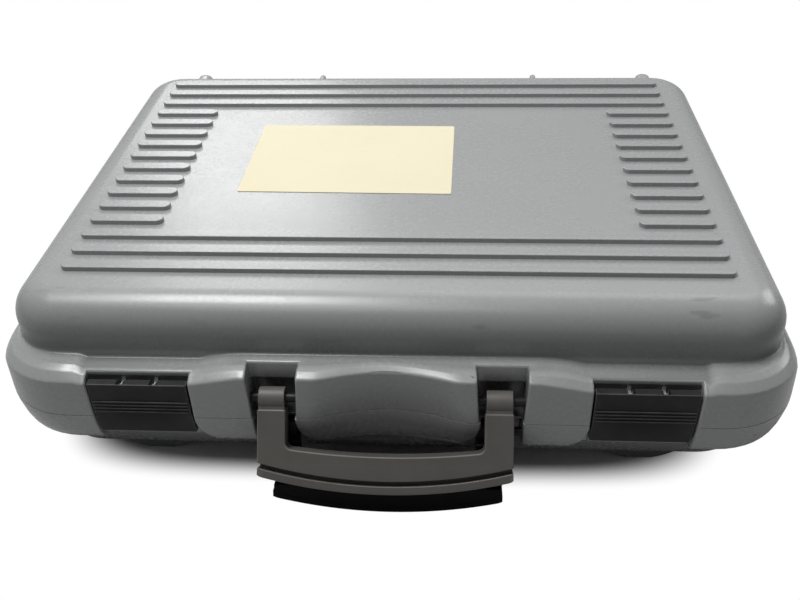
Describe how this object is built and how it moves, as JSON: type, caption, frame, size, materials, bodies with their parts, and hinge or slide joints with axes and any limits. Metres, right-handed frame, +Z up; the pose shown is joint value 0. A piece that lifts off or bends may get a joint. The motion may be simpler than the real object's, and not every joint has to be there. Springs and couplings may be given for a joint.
{
  "type": "survey prism carrying case",
  "caption": "Hinged hard-plastic carrying case for a survey prism set, with a ribbed lid, snap latches, a folding two-half carry handle and cut foam inside.",
  "frame": {"origin": "centre of the case's box at table level, as it lies closed on its feet with the handle hanging", "axes": "+X along the width, +Y from the handle side to the hinge side, +Z up"},
  "size_m": [0.348, 0.303, 0.0971],
  "materials": {
    "shell_plastic": "satin",
    "latch_plastic": "satin",
    "handle_plastic": "satin",
    "foam": "matte",
    "label_paper": "matte",
    "steel": "satin"
  },
  "bodies": {
    "base": {"base_shell": "shell_plastic", "base_foam_floor": "foam", "base_foam_insert": "foam", "hinge_pin_left": "steel", "hinge_pin_right": "steel", "handle_base_pin_left": "steel", "handle_base_pin_right": "steel"},
    "lid": {"lid_shell": "shell_plastic", "lid_foam_pad": "foam", "lid_label": "label_paper", "latch_pin_left": "steel", "latch_pin_right": "steel", "handle_lid_pin_left": "steel", "handle_lid_pin_right": "steel"},
    "left_latch": {"latch_left": "latch_plastic"},
    "right_latch": {"latch_right": "latch_plastic"},
    "lid_handle": {"handle_lid_half": "handle_plastic"},
    "base_handle": {"handle_base_half": "handle_plastic"}
  },
  "joints": [
    {"name": "lid_hinge", "type": "hinge", "parent": "base", "child": "lid", "pos_m": [0, 0.14598, 0.04815], "axis": [-1, 0, 0], "range_deg": [0, 100]},
    {"name": "left_latch_hinge", "type": "hinge", "parent": "lid", "child": "left_latch", "pos_m": [-0.105, -0.12782, 0.0625], "axis": [-1, 0, 0], "range_deg": [0, 100]},
    {"name": "right_latch_hinge", "type": "hinge", "parent": "lid", "child": "right_latch", "pos_m": [0.105, -0.12782, 0.0625], "axis": [-1, 0, 0], "range_deg": [0, 100]},
    {"name": "lid_handle_pivot", "type": "hinge", "parent": "lid", "child": "lid_handle", "pos_m": [0, -0.12602, 0.05665], "axis": [-1, 0, 0], "range_deg": [0, 56]},
    {"name": "base_handle_pivot", "type": "hinge", "parent": "base", "child": "base_handle", "pos_m": [0, -0.12602, 0.03965], "axis": [-1, 0, 0], "range_deg": [0, 79]}
  ],
  "couplings": [
    {"joint": "base_handle_pivot", "follows": "lid_handle_pivot", "ratio": 1.4107}
  ]
}
